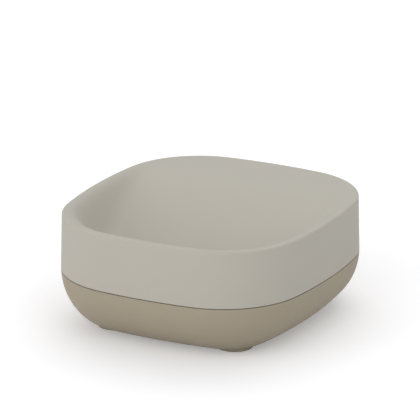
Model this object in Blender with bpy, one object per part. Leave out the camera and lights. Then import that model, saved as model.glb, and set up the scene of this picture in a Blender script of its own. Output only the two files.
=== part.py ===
"""Two-part soap dish for Blender 4.5: a tray with a sloping bowl on a reservoir base with four soft feet.

The bowl rolls in softly from the rim and slopes down to a drain slot at the front, so that water runs
into the base. The tray lifts straight off, and a tongue on the base locates it.

Metres, +Z up. The origin is on the table under the middle of the dish, and the front is towards -Y.
"""

import math

import bmesh
import bpy
from mathutils import Vector

# Plan outline at the parting line: four bulged sides joined by round corners
WIDTH = 0.1100
DEPTH = 0.1188
SIDE_RADIUS = 0.2000
CORNER_RADIUS = 0.0360

# Heights above the table
RIM_HEIGHT = 0.0480
PARTING_HEIGHT = 0.0239
UNDERSIDE_HEIGHT = 0.0024

# Fits between the pieces
SHADOW_GAP = 0.0003
FIT_CLEARANCE = 0.0003
EDGE_CHAMFER = 0.0003

# Tray: the outer wall leans in by the draft on its way up to the lip
TRAY_WALL = 0.0024
TRAY_DRAFT = 0.0005
LIP_RADIUS = 0.0008
BOWL_THICKNESS = 0.0020

# Bowl: depth of its floor below the rim at the back and the front, and how far in from the back and
# front edges the ramp between them starts and ends
BOWL_BACK_DEPTH = 0.0003
BOWL_FRONT_DEPTH = 0.0215
RAMP_BACK_MARGIN = 0.0221
RAMP_FRONT_MARGIN = 0.0227

# Bowl's wall: its width in plan at the back and the front edge, and the powers that shape its roll-over
# from the lip and its run-out on to the floor
WALL_BACK_WIDTH = 0.0010
WALL_FRONT_WIDTH = 0.0340
ROLL_OVER_POWER = 3.3
RUN_OUT_POWER = 3.0

# Drain slot at the low end of the bowl
DRAIN_LENGTH = 0.0340
DRAIN_WIDTH = 0.0065
DRAIN_FROM_FRONT = 0.0257
CUT_OVERRUN = 0.0040

# Base: a basin whose side sweeps in to the underside
BASE_WALL = 0.0024
BASE_FLOOR = 0.0024
BASE_INSET = 0.0136
BASE_TOP_LEAN = math.radians(1.8)
CORNER_TIGHTENING_SHARE = 0.34

# Tongue on the base's rim that locates the tray
TONGUE_THICKNESS = 0.0011
TONGUE_HEIGHT = 0.0030

# Feet: round pads, each in a pocket, their centres equally far in from the dish's sides
FOOT_RADIUS = 0.0077
FOOT_ROUNDING = 0.0005
FOOT_INSET = 0.0274
POCKET_DEPTH = 0.0010

# Mesh resolution
SIDE_STEPS = 4
CORNER_STEPS = 8
LIP_STEPS = 4
WALL_STEPS = 10
FLOOR_STEPS = 7
SWEEP_STEPS = 7
SLOT_STEPS = 8
FOOT_STEPS = 40
ROUNDING_STEPS = 4
SHARP_ANGLE = math.radians(30.0)

TRAY_BOTTOM = PARTING_HEIGHT + SHADOW_GAP / 2
BASE_TOP = PARTING_HEIGHT - SHADOW_GAP / 2
TONGUE_TOP = BASE_TOP + TONGUE_HEIGHT

PLASTIC_GREY = (0.479, 0.462, 0.407)
PLASTIC_TAUPE = (0.372, 0.325, 0.250)
SOFT_TAUPE = (0.330, 0.288, 0.222)


def plan_quarter(inset, corner_cut=0.0):
    """Centre, radius, start and end angle of the three arcs of one quarter of the outline.

    The outline is moved in by inset, and corner_cut is taken off its corner radius.
    """
    side = SIDE_RADIUS - inset
    corner = CORNER_RADIUS - inset - corner_cut
    x_offset = side - (WIDTH / 2 - inset)
    y_offset = side - (DEPTH / 2 - inset)
    spacing = math.hypot(x_offset, y_offset)
    rise = math.sqrt((side - corner) ** 2 - (spacing / 2) ** 2)
    centre_x = rise * y_offset / spacing - x_offset / 2
    centre_y = rise * x_offset / spacing - y_offset / 2
    low = math.atan2(centre_y, centre_x + x_offset)
    high = math.atan2(centre_y + y_offset, centre_x)
    return (
        ((-x_offset, 0.0), side, 0.0, low),
        ((centre_x, centre_y), corner, low, high),
        ((0.0, -y_offset), side, high, math.pi / 2),
    )


def plan_loop(inset, corner_cut=0.0):
    """The outline's points, counter-clockwise from +X, each with its outward normal."""
    quarter = []
    steps = (SIDE_STEPS, CORNER_STEPS, SIDE_STEPS)
    for (centre, radius, start, end), count in zip(plan_quarter(inset, corner_cut), steps):
        for step in range(count):
            normal = direction(start + (end - start) * step / count)
            quarter.append((Vector(centre) + radius * normal, normal))
    top = (Vector((0.0, DEPTH / 2 - inset)), Vector((0.0, 1.0)))
    quarter.append(top)

    loop = []
    for flip_x, flip_y in ((1, 1), (-1, 1), (-1, -1), (1, -1)):
        points = quarter if flip_x == flip_y else quarter[::-1]
        for point, normal in points[:-1]:
            flip = Vector((flip_x, flip_y))
            loop.append((point * flip, normal * flip))
    return loop


def direction(angle):
    """Unit vector in plan at an angle."""
    return Vector((math.cos(angle), math.sin(angle)))


def level_loop(inset, height, corner_cut=0.0):
    """The outline moved in by inset, at one height."""
    return [point.to_3d() + Vector((0.0, 0.0, height)) for point, _ in plan_loop(inset, corner_cut)]


def closed_mesh(name, first_point, loops, last_point):
    """A closed mesh lofted through loops, with a fan from a point at each end.

    The loops run counter-clockwise from above, from the middle of the top side out and down, and
    back to the middle of the underside.
    """
    bm = bmesh.new()
    rows = [[bm.verts.new(point) for point in loop] for loop in loops]
    first = bm.verts.new(first_point)
    last = bm.verts.new(last_point)
    count = len(rows[0])
    for i in range(count):
        j = (i + 1) % count
        bm.faces.new((first, rows[0][i], rows[0][j]))
        for inner, outer in zip(rows, rows[1:]):
            bm.faces.new((inner[i], outer[i], outer[j], inner[j]))
        bm.faces.new((last, rows[-1][j], rows[-1][i]))
    mesh = bpy.data.meshes.new(name)
    bm.to_mesh(mesh)
    bm.free()
    mesh.shade_smooth()
    mesh.set_sharp_from_angle(angle=SHARP_ANGLE)
    return mesh


def ease(share):
    """Smooth step from 0 to 1."""
    share = min(max(share, 0.0), 1.0)
    return share * share * (3 - 2 * share)


def bowl_depth(y):
    """Depth of the bowl's floor below the rim: level at the back and the front, with a ramp between."""
    back = DEPTH / 2 - RAMP_BACK_MARGIN
    front = RAMP_FRONT_MARGIN - DEPTH / 2
    return BOWL_BACK_DEPTH + (BOWL_FRONT_DEPTH - BOWL_BACK_DEPTH) * ease((back - y) / (back - front))


def wall_width(y):
    """Width of the bowl's wall in plan at y, wider towards the front."""
    return WALL_BACK_WIDTH + (WALL_FRONT_WIDTH - WALL_BACK_WIDTH) * (1 / 2 - y / DEPTH)


def wall_share(share):
    """How far the wall has come down, 0 at the lip's crest and 1 on the floor, at a share of its width."""
    return (1 - (1 - min(share, 1.0)) ** RUN_OUT_POWER) ** ROLL_OVER_POWER


class BowlSpoke:
    """The bowl's profile from one point of the lip's crest: square in over the wall, then to the middle."""

    def __init__(self, crest, normal):
        widening = (WALL_FRONT_WIDTH - WALL_BACK_WIDTH) / DEPTH
        self.crest = crest
        self.normal = normal
        self.width = wall_width(crest.y) / (1 - widening * normal.y)
        self.wall_end = crest - normal * self.width
        self.run = self.wall_end.length

    def plan(self, distance):
        """Place in plan at a distance along the spoke."""
        if distance < self.width:
            return self.crest - self.normal * distance
        return self.wall_end * (1 - (distance - self.width) / self.run)

    def distances(self, start):
        """Places along the spoke from start: close steps on the wall and wider ones on the floor."""
        wall = [start + (self.width - start) * step / WALL_STEPS for step in range(WALL_STEPS)]
        return wall + [self.width + self.run * step / FLOOR_STEPS for step in range(FLOOR_STEPS)]

    def top(self, distance):
        """Point on the bowl's surface."""
        plan = self.plan(distance)
        drop = bowl_depth(plan.y) * wall_share(distance / wall_width(plan.y))
        return Vector((plan.x, plan.y, RIM_HEIGHT - drop))

    def underside(self, distance):
        """Point below the bowl that is the thickness away from its surface along the spoke."""
        near = self.place_over(distance)
        slope = self.slope(near)
        plan = self.plan(distance)
        drop = BOWL_THICKNESS / math.hypot(1.0, slope)
        return Vector((plan.x, plan.y, self.top(near).z - drop))

    def slope(self, distance):
        """Rise of the surface for each unit towards the middle."""
        step = BOWL_THICKNESS / 2
        before = max(distance - step, 0.0)
        return (self.top(distance + step).z - self.top(before).z) / (distance + step - before)

    def place_over(self, distance):
        """The place whose surface normal passes a thickness below it through distance."""
        low = distance
        high = distance + BOWL_THICKNESS
        for _ in range(24):
            middle = (low + high) / 2
            slope = self.slope(middle)
            shift = BOWL_THICKNESS * slope / math.hypot(1.0, slope)
            if middle + shift < distance:
                low = middle
            else:
                high = middle
        return (low + high) / 2


def wall_loop(outer_inset, heights):
    """Points of a drafted tray wall that is outer_inset inside the outer face, at the given heights."""
    low = plan_loop(outer_inset)
    high = plan_loop(outer_inset + TRAY_DRAFT)
    rise = RIM_HEIGHT - TRAY_BOTTOM
    loop = []
    for (low_point, _), (high_point, _), height in zip(low, high, heights):
        plan = low_point.lerp(high_point, (height - TRAY_BOTTOM) / rise)
        loop.append(Vector((plan.x, plan.y, height)))
    return loop


def level_wall_loop(outer_inset, height):
    """A drafted tray wall's points, all at one height."""
    return wall_loop(outer_inset, [height] * len(plan_loop(outer_inset)))


def lip_loops():
    """The lip's outer quarter round, from its crest down to the outer wall."""
    loops = []
    for step in range(LIP_STEPS + 1):
        angle = math.pi / 2 * step / LIP_STEPS
        inset = LIP_RADIUS * (1 - math.sin(angle))
        height = RIM_HEIGHT - LIP_RADIUS * (1 - math.cos(angle))
        loops.append(level_wall_loop(inset, height))
    return loops


def tray_mesh():
    """The tray: lip, outer wall with a rebate at its foot, and the bowl as a shell between them."""
    crest = plan_loop(TRAY_DRAFT + LIP_RADIUS)
    spokes = [BowlSpoke(point, normal) for point, normal in crest]
    top_places = [spoke.distances(0.0)[1:] for spoke in spokes]
    bowl = [[spoke.top(row[k]) for spoke, row in zip(spokes, top_places)]
            for k in reversed(range(len(top_places[0])))]

    under_places = [spoke.distances(TRAY_WALL - LIP_RADIUS) for spoke in spokes]
    underside = [[spoke.underside(row[k]) for spoke, row in zip(spokes, under_places)]
                 for k in range(len(under_places[0]))]
    junction = wall_loop(TRAY_WALL, [point.z for point in underside[0]])

    skirt = BASE_WALL - TONGUE_THICKNESS - FIT_CLEARANCE
    shoulder = TONGUE_TOP + FIT_CLEARANCE
    foot_of_wall = [
        level_wall_loop(0.0, TRAY_BOTTOM + EDGE_CHAMFER),
        level_wall_loop(EDGE_CHAMFER, TRAY_BOTTOM),
        level_wall_loop(skirt, TRAY_BOTTOM),
        level_wall_loop(skirt, shoulder),
        level_wall_loop(TRAY_WALL, shoulder),
    ]
    loops = bowl + lip_loops() + foot_of_wall + [junction] + underside[1:]
    middle = RIM_HEIGHT - bowl_depth(0.0)
    return closed_mesh(
        "tray", (0.0, 0.0, middle), loops, (0.0, 0.0, middle - BOWL_THICKNESS))


def base_sweep():
    """Inset, height and lean of the base's outer side, an arc from the parting line to the underside."""
    drop = BASE_TOP - UNDERSIDE_HEIGHT
    chord = math.hypot(drop, BASE_INSET)
    last_lean = 2 * math.atan2(BASE_INSET, drop) - BASE_TOP_LEAN
    radius = chord / (2 * math.sin((last_lean - BASE_TOP_LEAN) / 2))
    sweep = []
    for step in range(SWEEP_STEPS + 1):
        lean = BASE_TOP_LEAN + (last_lean - BASE_TOP_LEAN) * step / SWEEP_STEPS
        inset = radius * (math.cos(BASE_TOP_LEAN) - math.cos(lean))
        height = BASE_TOP - radius * (math.sin(lean) - math.sin(BASE_TOP_LEAN))
        sweep.append((inset, height, lean))
    return sweep


def base_mesh():
    """The base: a basin of even wall with a tongue standing on the inner half of its rim."""
    floor = UNDERSIDE_HEIGHT + BASE_FLOOR
    inner = []
    for inset, height, lean in reversed(base_sweep()):
        inner_height = min(max(height + BASE_WALL * math.sin(lean), floor), BASE_TOP)
        cut = CORNER_TIGHTENING_SHARE * inset
        inner.append(level_loop(inset + BASE_WALL * math.cos(lean), inner_height, cut))

    tongue = BASE_WALL - TONGUE_THICKNESS
    rim = [
        level_loop(BASE_WALL, TONGUE_TOP - EDGE_CHAMFER),
        level_loop(BASE_WALL - EDGE_CHAMFER, TONGUE_TOP),
        level_loop(tongue + EDGE_CHAMFER, TONGUE_TOP),
        level_loop(tongue, TONGUE_TOP - EDGE_CHAMFER),
        level_loop(tongue, BASE_TOP),
        level_loop(EDGE_CHAMFER, BASE_TOP),
    ]
    outer = [level_loop(inset, height, CORNER_TIGHTENING_SHARE * inset)
             for inset, height, _ in base_sweep()[1:]]
    chamfer_end = level_loop(0.0, BASE_TOP - EDGE_CHAMFER)
    return closed_mesh(
        "base", (0.0, 0.0, floor), inner + rim + [chamfer_end] + outer, (0.0, 0.0, UNDERSIDE_HEIGHT))


def ring(radius, height):
    """A level circle of points round the Z axis."""
    turns = [2 * math.pi * step / FOOT_STEPS for step in range(FOOT_STEPS)]
    return [(direction(turn) * radius).to_3d() + Vector((0.0, 0.0, height)) for turn in turns]


def foot_mesh():
    """A soft round pad: its top sits in the pocket and its edge rounds down to a flat sole."""
    top = UNDERSIDE_HEIGHT + POCKET_DEPTH - FIT_CLEARANCE
    loops = [ring(FOOT_RADIUS, top)]
    for step in range(ROUNDING_STEPS + 1):
        angle = math.pi / 2 * step / ROUNDING_STEPS
        loops.append(ring(FOOT_RADIUS - FOOT_ROUNDING * (1 - math.cos(angle)),
                          FOOT_ROUNDING * (1 - math.sin(angle))))
    return closed_mesh("foot", (0.0, 0.0, top), loops, (0.0, 0.0, 0.0))


def pocket_mesh():
    """The cutter for a foot's pocket in the underside of the base."""
    roof = UNDERSIDE_HEIGHT + POCKET_DEPTH
    below = UNDERSIDE_HEIGHT - CUT_OVERRUN
    loops = [ring(FOOT_RADIUS + FIT_CLEARANCE, height) for height in (roof, below)]
    return closed_mesh("pocket", (0.0, 0.0, roof), loops, (0.0, 0.0, below))


def drain_mesh():
    """The cutter for the drain slot, centred on the origin."""
    half_run = (DRAIN_LENGTH - DRAIN_WIDTH) / 2
    outline = []
    for side in (1, -1):
        for step in range(SLOT_STEPS + 1):
            turn = direction(math.pi * step / SLOT_STEPS - math.pi / 2) * DRAIN_WIDTH / 2
            outline.append(Vector((side * (half_run + turn.x), side * turn.y, 0.0)))
    half_height = BOWL_THICKNESS + CUT_OVERRUN
    rise = Vector((0.0, 0.0, half_height))
    loops = [[point + rise for point in outline], [point - rise for point in outline]]
    return closed_mesh("drain", rise, loops, -rise)


def plastic(name, colour, roughness):
    """A plain moulded plastic."""
    material = bpy.data.materials.new(name)
    material.use_nodes = True
    shader = material.node_tree.nodes["Principled BSDF"]
    shader.inputs["Base Color"].default_value = (*colour, 1.0)
    shader.inputs["Roughness"].default_value = roughness
    shader.inputs["Metallic"].default_value = 0.0
    material.diffuse_color = (*colour, 1.0)
    return material


def add_object(name, mesh, collection):
    """An object for a mesh, in its collection."""
    piece = bpy.data.objects.new(name, mesh)
    collection.objects.link(piece)
    return piece


def add_cutter(name, mesh, collection):
    """An object that only cuts others."""
    cutter = add_object(name, mesh, collection)
    cutter.hide_render = True
    cutter.display_type = "WIRE"
    return cutter


def cut(piece, cutter):
    """Take the cutter's shape out of the piece."""
    boolean = piece.modifiers.new(cutter.name, "BOOLEAN")
    boolean.operation = "DIFFERENCE"
    boolean.solver = "EXACT"
    boolean.object = cutter


def new_collection(name):
    """A collection linked to the scene."""
    collection = bpy.data.collections.new(name)
    bpy.context.scene.collection.children.link(collection)
    return collection


def main():
    for leftover in list(bpy.data.objects):
        bpy.data.objects.remove(leftover)
    pieces = new_collection("soap_dish")
    cutters = new_collection("cutters")

    tray = add_object("tray", tray_mesh(), pieces)
    tray.data.materials.append(plastic("grey_plastic", PLASTIC_GREY, 0.5))
    base = add_object("base", base_mesh(), pieces)
    base.data.materials.append(plastic("taupe_plastic", PLASTIC_TAUPE, 0.5))

    drain = add_cutter("drain_cutter", drain_mesh(), cutters)
    drain_y = DRAIN_FROM_FRONT - DEPTH / 2
    drain.location = (0.0, drain_y, RIM_HEIGHT - bowl_depth(drain_y))
    cut(tray, drain)

    foot = foot_mesh()
    foot.materials.append(plastic("soft_foot", SOFT_TAUPE, 0.8))
    pocket = pocket_mesh()
    foot_x = WIDTH / 2 - FOOT_INSET
    foot_y = DEPTH / 2 - FOOT_INSET
    places = {
        "front_left": (-foot_x, -foot_y),
        "front_right": (foot_x, -foot_y),
        "back_left": (-foot_x, foot_y),
        "back_right": (foot_x, foot_y),
    }
    for place, (x, y) in places.items():
        pad = add_object(place + "_foot", foot, pieces)
        pad.location = (x, y, 0.0)
        pocket_cutter = add_cutter(place + "_pocket_cutter", pocket, cutters)
        pocket_cutter.location = (x, y, 0.0)
        cut(base, pocket_cutter)


main()
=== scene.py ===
import math

import bmesh
import bpy
from mathutils import Matrix, Vector
from mathutils.bvhtree import BVHTree


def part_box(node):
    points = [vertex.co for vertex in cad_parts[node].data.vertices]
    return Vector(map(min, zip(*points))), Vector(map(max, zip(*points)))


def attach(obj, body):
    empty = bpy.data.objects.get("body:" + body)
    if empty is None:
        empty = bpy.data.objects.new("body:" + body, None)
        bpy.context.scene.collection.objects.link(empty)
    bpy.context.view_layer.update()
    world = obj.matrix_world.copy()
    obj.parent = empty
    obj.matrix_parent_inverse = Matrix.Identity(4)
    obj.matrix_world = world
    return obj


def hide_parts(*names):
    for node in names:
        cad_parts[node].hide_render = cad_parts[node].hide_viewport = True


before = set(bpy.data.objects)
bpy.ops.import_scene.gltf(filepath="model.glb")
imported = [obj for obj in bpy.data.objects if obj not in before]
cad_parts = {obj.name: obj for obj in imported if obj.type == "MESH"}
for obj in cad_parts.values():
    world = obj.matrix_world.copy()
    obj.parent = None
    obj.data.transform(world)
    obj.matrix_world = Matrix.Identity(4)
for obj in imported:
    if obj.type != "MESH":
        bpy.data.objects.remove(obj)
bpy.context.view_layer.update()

# Metres, +Z up, front towards -Y, origin on the table under the middle of the dish. The overall sizes
# and the heights come from the pieces in model.glb, and the rest are the design's own radii, walls and fits.
tray_low, tray_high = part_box("tray")
base_low, base_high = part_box("base")
WIDTH = base_high.x - base_low.x
DEPTH = base_high.y - base_low.y
RIM_HEIGHT = tray_high.z
TRAY_BOTTOM = tray_low.z
TONGUE_TOP = base_high.z
UNDERSIDE_HEIGHT = base_low.z

# Plan outline: four bulged sides joined by round corners
SIDE_RADIUS = 0.2000
CORNER_RADIUS = 0.0360

# Fits between the pieces
SHADOW_GAP = 0.0003
FIT_CLEARANCE = 0.0003
BASE_TOP = TRAY_BOTTOM - SHADOW_GAP

# Tray
TRAY_WALL = 0.0024
TRAY_DRAFT = 0.0005
LIP_RADIUS = 0.0008
BOWL_THICKNESS = 0.0020

# Round of the fine edges along the parting line and on the tongue
EDGE_RADIUS = 0.0003

# Bowl: depth of its floor below the rim at the back and the front, and how far in from the back and
# front edges the ramp between them starts and ends
BOWL_BACK_DEPTH = 0.0003
BOWL_FRONT_DEPTH = 0.0215
RAMP_BACK_MARGIN = 0.0221
RAMP_FRONT_MARGIN = 0.0227

# Bowl's wall: its width in plan at the back and the front edge, and the powers that shape its roll-over
# from the lip and its run-out on to the floor
WALL_BACK_WIDTH = 0.0010
WALL_FRONT_WIDTH = 0.0340
ROLL_OVER_POWER = 3.3
RUN_OUT_POWER = 3.0

# Drain slot
DRAIN_LENGTH = 0.0340
DRAIN_WIDTH = 0.0065
DRAIN_FROM_FRONT = 0.0257
DRAIN_EDGE_RADIUS = 0.0008
DRAIN_EDGE_START = math.radians(20.0)
CUT_OVERRUN = 0.0040

# Base
BASE_WALL = 0.0024
BASE_FLOOR = 0.0024
BASE_INSET = 0.0136
BASE_TOP_LEAN = math.radians(1.8)
CORNER_TIGHTENING_SHARE = 0.34
TONGUE_THICKNESS = 0.0011

# Feet
FOOT_RADIUS = 0.0077
FOOT_ROUNDING = 0.0005
FOOT_INSET = 0.0274
POCKET_DEPTH = 0.0010

# Fine mesh: steps along each curve, halvings in a search, and the angle above which an edge is sharp
SIDE_STEPS = 12
CORNER_STEPS = 28
LIP_STEPS = 8
EDGE_STEPS = 4
WALL_STEPS = 36
FLOOR_STEPS = 20
SWEEP_STEPS = 40
SLOT_STEPS = 24
FOOT_STEPS = 96
ROUNDING_STEPS = 10
HALVINGS = 20
SHARP_ANGLE = math.radians(40.0)

# The photograph's view, in its own frame of 420 by 420 pixels
FRAME_PIXELS = 420
FOCAL_PIXELS = 4788.0
VIEW_AZIMUTH = math.radians(27.604)
VIEW_ELEVATION = math.radians(19.077)
VIEW_DISTANCE = 1.985
VIEW_TARGET = Vector((0.0, 0.0, 0.0282))
TARGET_PIXEL = (211.06, 247.78)
SENSOR_WIDTH = 36.0
CLIP_END = 20.0

# Studio: an even sky and soft lights, smaller for a higher focus. Each light has its azimuth from the
# right round by the back, its elevation, both in degrees, and its radiance in the middle.
SKY_STRENGTH = 0.143
SOFT_LIGHT_FOCUS = 8.0
SOFT_LIGHTS = (
    ("right", 0, 12, 0.478),
    ("right_high", 0, 45, 0.593),
    ("back_high", 90, 45, 1.349),
    ("back_left_high", 135, 45, 1.150),
    ("front_left", 225, 12, 1.729),
    ("front", 270, 12, 1.214),
    ("front_high", 270, 45, 0.252),
    ("front_right_high", 315, 45, 0.615),
)
WHITE = (1.0, 1.0, 1.0, 1.0)

# Floor: the shade that lights the dish, and the colour and glow that show
FLOOR_SIZE = 6.0
FLOOR_COLOUR = (0.85, 0.85, 0.85, 1.0)
FLOOR_SHOWN_COLOUR = (1.000, 0.997, 1.015, 1.0)
FLOOR_SHOWN_GLOW = 0.13

# Painted fill light on the floor close under the dish, a glow that lifts its shadow: its strength, how near
# a form counts, and how steeply it fades
SHADOW_FILL = 0.16
SHADOW_FILL_REACH = 0.030
SHADOW_FILL_POWER = 4.0

# Finishes: linear colours, roughness and gloss
GREY = (0.480, 0.459, 0.405)
TAUPE = (0.376, 0.329, 0.251)
SOFT_TAUPE = (0.338, 0.295, 0.227)
PLASTIC_ROUGHNESS = 0.6
RUBBER_ROUGHNESS = 0.7
SPECULAR_LEVEL = 0.15

# Size and depth of the mould's grain on the plastic and on the soft pads
PLASTIC_GRAIN = 0.00028
PLASTIC_GRAIN_DEPTH = 0.000012
SOFT_GRAIN = 0.00045
SOFT_GRAIN_DEPTH = 0.00003

# Noise of the grain, and of the slow changes of tint and roughness: scale, detail and its falloff
GRAIN_DETAIL = 2.0
GRAIN_FALLOFF = 0.55
TINT_NOISE = (60.0, 3.0, 0.5)
TINT_SPREAD = 0.02
PATCH_NOISE = (420.0, 2.0, 0.6)
PATCH_LOW = 0.3
PATCH_HIGH = 0.7
ROUGHNESS_SPREAD = 0.04

# Sockets of the mix node that has colours at both ends
MIX_FACTOR = 0
MIX_FIRST = 6
MIX_SECOND = 7
MIX_RESULT = 2


def direction(angle):
    """Unit vector in plan at an angle."""
    return Vector((math.cos(angle), math.sin(angle)))


def plan_quarter(inset, corner_cut=0.0):
    """Centre, radius, start and end angle of the three arcs of one quarter of the outline."""
    side = SIDE_RADIUS - inset
    corner = CORNER_RADIUS - inset - corner_cut
    x_offset = side - (WIDTH / 2 - inset)
    y_offset = side - (DEPTH / 2 - inset)
    spacing = math.hypot(x_offset, y_offset)
    rise = math.sqrt((side - corner) ** 2 - (spacing / 2) ** 2)
    centre_x = rise * y_offset / spacing - x_offset / 2
    centre_y = rise * x_offset / spacing - y_offset / 2
    low = math.atan2(centre_y, centre_x + x_offset)
    high = math.atan2(centre_y + y_offset, centre_x)
    return (
        ((-x_offset, 0.0), side, 0.0, low),
        ((centre_x, centre_y), corner, low, high),
        ((0.0, -y_offset), side, high, math.pi / 2),
    )


def plan_loop(inset, corner_cut=0.0):
    """The outline's points, counter-clockwise from +X, each with its outward normal."""
    quarter = []
    steps = (SIDE_STEPS, CORNER_STEPS, SIDE_STEPS)
    for (centre, radius, start, end), count in zip(plan_quarter(inset, corner_cut), steps):
        for step in range(count):
            normal = direction(start + (end - start) * step / count)
            quarter.append((Vector(centre) + radius * normal, normal))
    quarter.append((Vector((0.0, DEPTH / 2 - inset)), Vector((0.0, 1.0))))

    loop = []
    for flip_x, flip_y in ((1, 1), (-1, 1), (-1, -1), (1, -1)):
        points = quarter if flip_x == flip_y else quarter[::-1]
        for point, normal in points[:-1]:
            flip = Vector((flip_x, flip_y))
            loop.append((point * flip, normal * flip))
    return loop


def level_loop(inset, height, corner_cut=0.0):
    """The outline moved in by inset, at one height."""
    return [Vector((point.x, point.y, height)) for point, _ in plan_loop(inset, corner_cut)]


def closed_mesh(name, first_point, loops, last_point):
    """A closed mesh lofted through loops, with a fan from a point at each end."""
    bm = bmesh.new()
    rows = [[bm.verts.new(point) for point in loop] for loop in loops]
    first = bm.verts.new(first_point)
    last = bm.verts.new(last_point)
    count = len(rows[0])
    for i in range(count):
        j = (i + 1) % count
        bm.faces.new((first, rows[0][i], rows[0][j]))
        for inner, outer in zip(rows, rows[1:]):
            bm.faces.new((inner[i], outer[i], outer[j], inner[j]))
        bm.faces.new((last, rows[-1][j], rows[-1][i]))
    mesh = bpy.data.meshes.new(name)
    bm.to_mesh(mesh)
    bm.free()
    return mesh


def quarter_round(radius, steps):
    """Offsets across and along an edge's quarter round, from its start to its end."""
    turns = [math.pi / 2 * step / steps for step in range(steps + 1)]
    return [(radius * (1 - math.cos(turn)), radius * (1 - math.sin(turn))) for turn in turns]


def ease(share):
    """Smooth step from 0 to 1."""
    share = min(max(share, 0.0), 1.0)
    return share * share * (3 - 2 * share)


def bowl_depth(y):
    """Depth of the bowl's floor below the rim: level at the back and the front, with a ramp between."""
    back = DEPTH / 2 - RAMP_BACK_MARGIN
    front = RAMP_FRONT_MARGIN - DEPTH / 2
    return BOWL_BACK_DEPTH + (BOWL_FRONT_DEPTH - BOWL_BACK_DEPTH) * ease((back - y) / (back - front))


def wall_width(y):
    """Width of the bowl's wall in plan at y, wider towards the front."""
    return WALL_BACK_WIDTH + (WALL_FRONT_WIDTH - WALL_BACK_WIDTH) * (1 / 2 - y / DEPTH)


def wall_share(share):
    """How far the wall has come down, 0 at the lip's crest and 1 on the floor, at a share of its width."""
    return (1 - (1 - min(share, 1.0)) ** RUN_OUT_POWER) ** ROLL_OVER_POWER


class BowlSpoke:
    """The bowl's profile from one point of the lip's crest: square in over the wall, then to the middle."""

    def __init__(self, crest, normal):
        widening = (WALL_FRONT_WIDTH - WALL_BACK_WIDTH) / DEPTH
        self.crest = crest
        self.normal = normal
        self.width = wall_width(crest.y) / (1 - widening * normal.y)
        self.wall_end = crest - normal * self.width
        self.run = self.wall_end.length

    def plan(self, distance):
        """Place in plan at a distance along the spoke."""
        if distance < self.width:
            return self.crest - self.normal * distance
        return self.wall_end * (1 - (distance - self.width) / self.run)

    def distances(self, start):
        """Places along the spoke from start: close steps on the wall and wider ones on the floor."""
        wall = [start + (self.width - start) * step / WALL_STEPS for step in range(WALL_STEPS)]
        return wall + [self.width + self.run * step / FLOOR_STEPS for step in range(FLOOR_STEPS)]

    def top(self, distance):
        """Point on the bowl's surface."""
        plan = self.plan(distance)
        drop = bowl_depth(plan.y) * wall_share(distance / wall_width(plan.y))
        return Vector((plan.x, plan.y, RIM_HEIGHT - drop))

    def underside(self, distance):
        """Point below the bowl that is the thickness away from its surface along the spoke."""
        slope = self.slope(self.place_over(distance))
        plan = self.plan(distance)
        drop = BOWL_THICKNESS / math.hypot(1.0, slope)
        return Vector((plan.x, plan.y, self.top(self.place_over(distance)).z - drop))

    def slope(self, distance):
        """Rise of the surface for each unit towards the middle."""
        step = BOWL_THICKNESS / 2
        before = max(distance - step, 0.0)
        return (self.top(distance + step).z - self.top(before).z) / (distance + step - before)

    def place_over(self, distance):
        """The place whose surface normal passes a thickness below it through distance."""
        low = distance
        high = distance + BOWL_THICKNESS
        for _ in range(HALVINGS):
            middle = (low + high) / 2
            slope = self.slope(middle)
            if middle + BOWL_THICKNESS * slope / math.hypot(1.0, slope) < distance:
                low = middle
            else:
                high = middle
        return (low + high) / 2


def wall_loop(outer_inset, heights):
    """Points of a drafted tray wall that is outer_inset inside the outer face, at the given heights."""
    low = plan_loop(outer_inset)
    high = plan_loop(outer_inset + TRAY_DRAFT)
    rise = RIM_HEIGHT - TRAY_BOTTOM
    loop = []
    for (low_point, _), (high_point, _), height in zip(low, high, heights):
        plan = low_point.lerp(high_point, (height - TRAY_BOTTOM) / rise)
        loop.append(Vector((plan.x, plan.y, height)))
    return loop


def level_wall_loop(outer_inset, height):
    """A drafted tray wall's points, all at one height."""
    return wall_loop(outer_inset, [height] * len(plan_loop(outer_inset)))


def tray_mesh():
    """The tray: lip, outer wall with a rebate at its foot, and the bowl as a shell between them."""
    spokes = [BowlSpoke(point, normal) for point, normal in plan_loop(TRAY_DRAFT + LIP_RADIUS)]
    top_places = [spoke.distances(0.0)[1:] for spoke in spokes]
    bowl = [[spoke.top(row[k]) for spoke, row in zip(spokes, top_places)]
            for k in reversed(range(len(top_places[0])))]
    lip = [level_wall_loop(along, RIM_HEIGHT - across)
           for across, along in quarter_round(LIP_RADIUS, LIP_STEPS)]

    skirt = BASE_WALL - TONGUE_THICKNESS - FIT_CLEARANCE
    shoulder = TONGUE_TOP + FIT_CLEARANCE
    round_edge = quarter_round(EDGE_RADIUS, EDGE_STEPS)
    foot_of_wall = [level_wall_loop(across, TRAY_BOTTOM + along) for across, along in round_edge]
    foot_of_wall += [level_wall_loop(skirt - along, TRAY_BOTTOM + across) for across, along in round_edge]
    foot_of_wall += [level_wall_loop(skirt, shoulder), level_wall_loop(TRAY_WALL, shoulder)]

    under_places = [spoke.distances(TRAY_WALL - LIP_RADIUS) for spoke in spokes]
    underside = [[spoke.underside(row[k]) for spoke, row in zip(spokes, under_places)]
                 for k in range(len(under_places[0]))]
    junction = wall_loop(TRAY_WALL, [point.z for point in underside[0]])
    loops = bowl + lip + foot_of_wall + [junction] + underside[1:]
    middle = RIM_HEIGHT - bowl_depth(0.0)
    return closed_mesh(
        "tray_body", (0.0, 0.0, middle), loops, (0.0, 0.0, middle - BOWL_THICKNESS))


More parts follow.
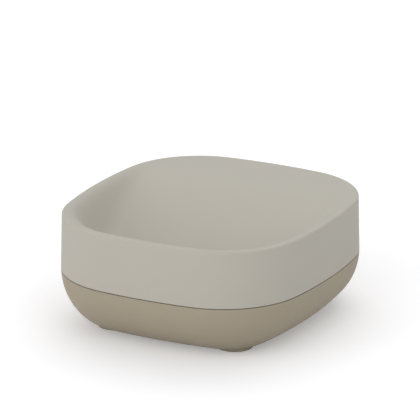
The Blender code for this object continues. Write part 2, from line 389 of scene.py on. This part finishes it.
def drain_mesh(tray):
    """The cutter for the drain slot, with its upper edge rounded from the tray's own surface."""
    bm = bmesh.new()
    bm.from_mesh(tray)
    surface = BVHTree.FromBMesh(bm)
    bm.free()
    centre_y = DRAIN_FROM_FRONT - DEPTH / 2

    def outline(offset):
        half_run = (DRAIN_LENGTH - DRAIN_WIDTH) / 2
        points = []
        for side in (1, -1):
            for step in range(SLOT_STEPS + 1):
                turn = direction(math.pi * step / SLOT_STEPS - math.pi / 2) * (DRAIN_WIDTH / 2 + offset)
                points.append(Vector((side * (half_run + turn.x), side * turn.y)))
        return points

    def heights(points):
        above = RIM_HEIGHT + CUT_OVERRUN
        down = Vector((0.0, 0.0, -1.0))
        return [surface.ray_cast(Vector((p.x, p.y + centre_y, above)), down)[0].z for p in points]

    surface_heights = heights(outline(0.0))
    rounding = []
    for step in range(ROUNDING_STEPS + 1):
        turn = DRAIN_EDGE_START + (math.pi / 2 - DRAIN_EDGE_START) * step / ROUNDING_STEPS
        rounding.append((DRAIN_EDGE_RADIUS * (1 - math.sin(turn)), DRAIN_EDGE_RADIUS * (1 - math.cos(turn))))
    mouth = rounding[0][0]
    profile = [(mouth, -CUT_OVERRUN)] + rounding + [(0.0, BOWL_THICKNESS + CUT_OVERRUN)]
    loops = []
    for offset, drop in profile:
        loops.append([Vector((p.x, p.y + centre_y, height - drop))
                      for p, height in zip(outline(offset), surface_heights)])
    middle = sum(surface_heights) / len(surface_heights)
    top = Vector((0.0, centre_y, middle + CUT_OVERRUN))
    bottom = Vector((0.0, centre_y, middle - BOWL_THICKNESS - CUT_OVERRUN))
    return closed_mesh("drain_cutter", top, loops, bottom)


def base_sweep():
    """Inset, height and lean of the base's outer side, an arc from the parting line to the underside."""
    drop = BASE_TOP - UNDERSIDE_HEIGHT
    chord = math.hypot(drop, BASE_INSET)
    last_lean = 2 * math.atan2(BASE_INSET, drop) - BASE_TOP_LEAN
    radius = chord / (2 * math.sin((last_lean - BASE_TOP_LEAN) / 2))
    sweep = []
    for step in range(SWEEP_STEPS + 1):
        lean = BASE_TOP_LEAN + (last_lean - BASE_TOP_LEAN) * step / SWEEP_STEPS
        inset = radius * (math.cos(BASE_TOP_LEAN) - math.cos(lean))
        height = BASE_TOP - radius * (math.sin(lean) - math.sin(BASE_TOP_LEAN))
        sweep.append((inset, height, lean))
    return sweep


def base_mesh():
    """The base: a basin of even wall with a tongue standing on the inner half of its rim."""
    floor = UNDERSIDE_HEIGHT + BASE_FLOOR
    inner = []
    for inset, height, lean in reversed(base_sweep()):
        inner_height = min(max(height + BASE_WALL * math.sin(lean), floor), BASE_TOP)
        cut = CORNER_TIGHTENING_SHARE * inset
        inner.append(level_loop(inset + BASE_WALL * math.cos(lean), inner_height, cut))

    tongue = BASE_WALL - TONGUE_THICKNESS
    round_edge = quarter_round(EDGE_RADIUS, EDGE_STEPS)
    rim = [level_loop(BASE_WALL - across, TONGUE_TOP - along) for across, along in round_edge]
    rim += [level_loop(tongue + along, TONGUE_TOP - across) for across, along in round_edge]
    rim += [level_loop(tongue, BASE_TOP)]
    rim += [level_loop(along, BASE_TOP - across) for across, along in round_edge]
    outer = [level_loop(inset, height, CORNER_TIGHTENING_SHARE * inset)
             for inset, height, _ in base_sweep()[1:]]
    return closed_mesh(
        "base_body", (0.0, 0.0, floor), inner + rim + outer, (0.0, 0.0, UNDERSIDE_HEIGHT))


def ring(radius, height):
    """A level circle of points round the Z axis."""
    turns = [2 * math.pi * step / FOOT_STEPS for step in range(FOOT_STEPS)]
    return [(direction(turn) * radius).to_3d() + Vector((0.0, 0.0, height)) for turn in turns]


def foot_mesh(name):
    """A soft round pad: its top sits in the pocket and its edge rounds down to a flat sole."""
    top = UNDERSIDE_HEIGHT + POCKET_DEPTH - FIT_CLEARANCE
    loops = [ring(FOOT_RADIUS, top)]
    loops += [ring(FOOT_RADIUS - across, along)
              for across, along in quarter_round(FOOT_ROUNDING, ROUNDING_STEPS)]
    return closed_mesh(name, (0.0, 0.0, top), loops, (0.0, 0.0, 0.0))


def pocket_mesh():
    """The cutter for a foot's pocket in the underside of the base."""
    roof = UNDERSIDE_HEIGHT + POCKET_DEPTH
    below = UNDERSIDE_HEIGHT - CUT_OVERRUN
    loops = [ring(FOOT_RADIUS + FIT_CLEARANCE, height) for height in (roof, below)]
    return closed_mesh("pocket", (0.0, 0.0, roof), loops, (0.0, 0.0, below))


def add_object(name, mesh):
    """An object for a mesh, in the scene."""
    piece = bpy.data.objects.new(name, mesh)
    bpy.context.scene.collection.objects.link(piece)
    return piece


def cut(piece, cutters):
    """Take each cutter's shape out of the piece and remove the cutters."""
    for cutter in cutters:
        boolean = piece.modifiers.new(cutter.name, "BOOLEAN")
        boolean.operation = "DIFFERENCE"
        boolean.solver = "EXACT"
        boolean.object = cutter
    graph = bpy.context.evaluated_depsgraph_get()
    mesh = bpy.data.meshes.new_from_object(piece.evaluated_get(graph))
    piece.modifiers.clear()
    piece.data = mesh
    for cutter in cutters:
        bpy.data.objects.remove(cutter)


def dress(piece, node, body, material):
    """Finish a piece with its material and smooth shading, hide the CAD node it stands for, and attach it to
    the body it rides on.
    """
    piece.data.name = piece.name
    piece.data.materials.clear()
    piece.data.materials.append(material)
    piece.data.shade_smooth()
    piece.data.set_sharp_from_angle(angle=SHARP_ANGLE)
    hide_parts(node)
    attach(piece, body)


def add_node(tree, kind, **inputs):
    """A shader node with its sockets set, their names written with underscores."""
    node = tree.nodes.new(kind)
    for name, value in inputs.items():
        node.inputs[name.replace("_", " ")].default_value = value
    return node


def worked_out(tree, operation, *terms):
    """The result of a Math node on terms that are numbers or other nodes' results."""
    node = tree.nodes.new("ShaderNodeMath")
    node.operation = operation
    for socket, term in zip(node.inputs, terms):
        if isinstance(term, float):
            socket.default_value = term
        else:
            tree.links.new(term, socket)
    return node.outputs["Value"]


def add_noise(tree, scale, detail, falloff):
    """A noise's value, laid out in the piece's own metres."""
    noise = add_node(tree, "ShaderNodeTexNoise", Scale=scale, Detail=detail, Roughness=falloff)
    place = tree.nodes.new("ShaderNodeTexCoord")
    tree.links.new(place.outputs["Object"], noise.inputs["Vector"])
    return noise.outputs["Fac"]


def moulded(name, colour, roughness, grain_size, grain_depth):
    """A moulded finish: fine spark-eroded grain, with slow changes of tint and roughness."""
    material = bpy.data.materials.new(name)
    material.use_nodes = True
    tree = material.node_tree
    shader = tree.nodes["Principled BSDF"]
    shader.inputs["Metallic"].default_value = 0.0
    shader.inputs["Specular IOR Level"].default_value = SPECULAR_LEVEL

    tint = tree.nodes.new("ShaderNodeMix")
    tint.data_type = "RGBA"
    tint.inputs[MIX_FIRST].default_value = (*[channel * (1 - TINT_SPREAD) for channel in colour], 1.0)
    tint.inputs[MIX_SECOND].default_value = (*[channel * (1 + TINT_SPREAD) for channel in colour], 1.0)
    tree.links.new(add_noise(tree, *TINT_NOISE), tint.inputs[MIX_FACTOR])
    tree.links.new(tint.outputs[MIX_RESULT], shader.inputs["Base Color"])

    rough = add_node(tree, "ShaderNodeMapRange", From_Min=PATCH_LOW, From_Max=PATCH_HIGH,
                     To_Min=roughness - ROUGHNESS_SPREAD, To_Max=roughness + ROUGHNESS_SPREAD)
    tree.links.new(add_noise(tree, *PATCH_NOISE), rough.inputs["Value"])
    tree.links.new(rough.outputs["Result"], shader.inputs["Roughness"])

    bump = add_node(tree, "ShaderNodeBump", Strength=1.0, Distance=grain_depth)
    tree.links.new(add_noise(tree, 1 / grain_size, GRAIN_DETAIL, GRAIN_FALLOFF), bump.inputs["Height"])
    tree.links.new(bump.outputs["Normal"], shader.inputs["Normal"])
    material.diffuse_color = (*colour, 1.0)
    return material


def add_pieces():
    """The dish's pieces, each in place of its CAD node."""
    grey = moulded("grey_plastic", GREY, PLASTIC_ROUGHNESS, PLASTIC_GRAIN, PLASTIC_GRAIN_DEPTH)
    taupe = moulded("taupe_plastic", TAUPE, PLASTIC_ROUGHNESS, PLASTIC_GRAIN, PLASTIC_GRAIN_DEPTH)
    rubber = moulded("soft_rubber", SOFT_TAUPE, RUBBER_ROUGHNESS, SOFT_GRAIN, SOFT_GRAIN_DEPTH)

    tray = add_object("tray_body", tray_mesh())
    cut(tray, [add_object("drain_cutter", drain_mesh(tray.data))])
    dress(tray, "tray", "tray", grey)

    base = add_object("base_body", base_mesh())
    foot_x = WIDTH / 2 - FOOT_INSET
    foot_y = DEPTH / 2 - FOOT_INSET
    places = {
        "front_left": (-foot_x, -foot_y),
        "front_right": (foot_x, -foot_y),
        "back_left": (-foot_x, foot_y),
        "back_right": (foot_x, foot_y),
    }
    pockets = []
    for place, (x, y) in places.items():
        move = Matrix.Translation((x, y, 0.0))
        pad = add_object(place + "_pad", foot_mesh(place + "_pad"))
        pad.data.transform(move)
        dress(pad, place + "_foot", "base", rubber)
        pocket = add_object(place + "_pocket", pocket_mesh())
        pocket.data.transform(move)
        pockets.append(pocket)
    cut(base, pockets)
    dress(base, "base", "base", taupe)


def split_by_ray(tree, lighting, shown):
    """The shown shader for camera, glossy and transmission rays, and the lighting one for all others."""
    path = tree.nodes.new("ShaderNodeLightPath")
    showing = path.outputs["Is Camera Ray"]
    for name in ("Is Glossy Ray", "Is Transmission Ray"):
        showing = worked_out(tree, "MAXIMUM", showing, path.outputs[name])
    mix = tree.nodes.new("ShaderNodeMixShader")
    tree.links.new(showing, mix.inputs["Fac"])
    tree.links.new(lighting, mix.inputs[1])
    tree.links.new(shown, mix.inputs[2])
    return mix.outputs["Shader"]


def add_sky():
    """The studio's even light with soft lights round it, shown as plain white."""
    world = bpy.data.worlds.new("studio")
    bpy.context.scene.world = world
    world.use_nodes = True
    # Gloss then reads the world through its own rays alone, which see the backdrop.
    world.cycles.sampling_method = "NONE"
    tree = world.node_tree
    studio = tree.nodes["Background"]
    ray = tree.nodes.new("ShaderNodeTexCoord").outputs["Generated"]

    strength = SKY_STRENGTH
    for name, azimuth, elevation, radiance in SOFT_LIGHTS:
        level = direction(math.radians(azimuth)) * math.cos(math.radians(elevation))
        towards = tree.nodes.new("ShaderNodeVectorMath")
        towards.label = name
        towards.operation = "DOT_PRODUCT"
        towards.inputs[1].default_value = (level.x, level.y, math.sin(math.radians(elevation)))
        tree.links.new(ray, towards.inputs[0])
        closeness = worked_out(tree, "MULTIPLY_ADD", towards.outputs["Value"],
                               SOFT_LIGHT_FOCUS, math.log(radiance) - SOFT_LIGHT_FOCUS)
        light = worked_out(tree, "EXPONENT", closeness)
        strength = worked_out(tree, "ADD", strength, light)
    studio.inputs["Color"].default_value = WHITE
    tree.links.new(strength, studio.inputs["Strength"])

    backdrop = add_node(tree, "ShaderNodeBackground", Color=WHITE, Strength=1.0)
    both = split_by_ray(tree, studio.outputs["Background"], backdrop.outputs["Background"])
    tree.links.new(both, tree.nodes["World Output"].inputs["Surface"])


def shadow_glow(tree):
    """The floor's even glow, with a painted fill light that lifts the deepest part of the dish's shadow."""
    sky = add_node(tree, "ShaderNodeAmbientOcclusion", Distance=SHADOW_FILL_REACH)
    # Painted fill light: the more of the sky the dish hides nearby, the stronger the floor glows
    hidden = worked_out(tree, "SUBTRACT", 1.0, sky.outputs["AO"])
    deep = worked_out(tree, "POWER", hidden, SHADOW_FILL_POWER)
    return worked_out(tree, "MULTIPLY_ADD", deep, SHADOW_FILL, FLOOR_SHOWN_GLOW)


def add_floor():
    """A plain pale floor that keeps the dish's soft shadow, shown lighter than it lights the dish."""
    half = FLOOR_SIZE / 2
    corners = [(-half, -half, 0.0), (half, -half, 0.0), (half, half, 0.0), (-half, half, 0.0)]
    mesh = bpy.data.meshes.new("floor")
    mesh.from_pydata(corners, [], [(0, 1, 2, 3)])
    floor = add_object("floor", mesh)
    material = bpy.data.materials.new("white_floor")
    material.use_nodes = True
    tree = material.node_tree
    tree.nodes.remove(tree.nodes["Principled BSDF"])
    lit = add_node(tree, "ShaderNodeBsdfDiffuse", Color=FLOOR_COLOUR)
    shown = add_node(tree, "ShaderNodeBsdfDiffuse", Color=FLOOR_SHOWN_COLOUR)
    glow = add_node(tree, "ShaderNodeEmission", Color=WHITE)
    tree.links.new(shadow_glow(tree), glow.inputs["Strength"])
    shown_glowing = tree.nodes.new("ShaderNodeAddShader")
    tree.links.new(shown.outputs["BSDF"], shown_glowing.inputs[0])
    tree.links.new(glow.outputs["Emission"], shown_glowing.inputs[1])
    both = split_by_ray(tree, lit.outputs["BSDF"], shown_glowing.outputs["Shader"])
    tree.links.new(both, tree.nodes["Material Output"].inputs["Surface"])
    mesh.materials.append(material)


def add_camera():
    """The photograph's camera."""
    back = Vector((
        math.sin(VIEW_AZIMUTH) * math.cos(VIEW_ELEVATION),
        -math.cos(VIEW_AZIMUTH) * math.cos(VIEW_ELEVATION),
        math.sin(VIEW_ELEVATION)))
    right = Vector((math.cos(VIEW_AZIMUTH), math.sin(VIEW_AZIMUTH), 0.0))
    up = back.cross(right)
    tilt = (TARGET_PIXEL[1] - FRAME_PIXELS / 2) / FOCAL_PIXELS
    pan = (TARGET_PIXEL[0] - FRAME_PIXELS / 2) / FOCAL_PIXELS
    axis_z = (back - up * tilt + right * pan).normalized()
    axis_y = axis_z.cross(right).normalized()
    axis_x = axis_y.cross(axis_z)
    data = bpy.data.cameras.new("camera")
    data.sensor_width = SENSOR_WIDTH
    data.lens = FOCAL_PIXELS / FRAME_PIXELS * SENSOR_WIDTH
    data.clip_end = CLIP_END
    camera = bpy.data.objects.new("camera", data)
    bpy.context.scene.collection.objects.link(camera)
    place = Matrix((axis_x, axis_y, axis_z)).transposed().to_4x4()
    place.translation = VIEW_TARGET + back * VIEW_DISTANCE
    camera.matrix_world = place
    bpy.context.scene.camera = camera


def main():
    """The dressed dish on its floor, in the studio, as the photograph's camera sees it."""
    bpy.context.scene.view_settings.view_transform = "Standard"
    add_pieces()
    add_floor()
    add_sky()
    add_camera()


main()
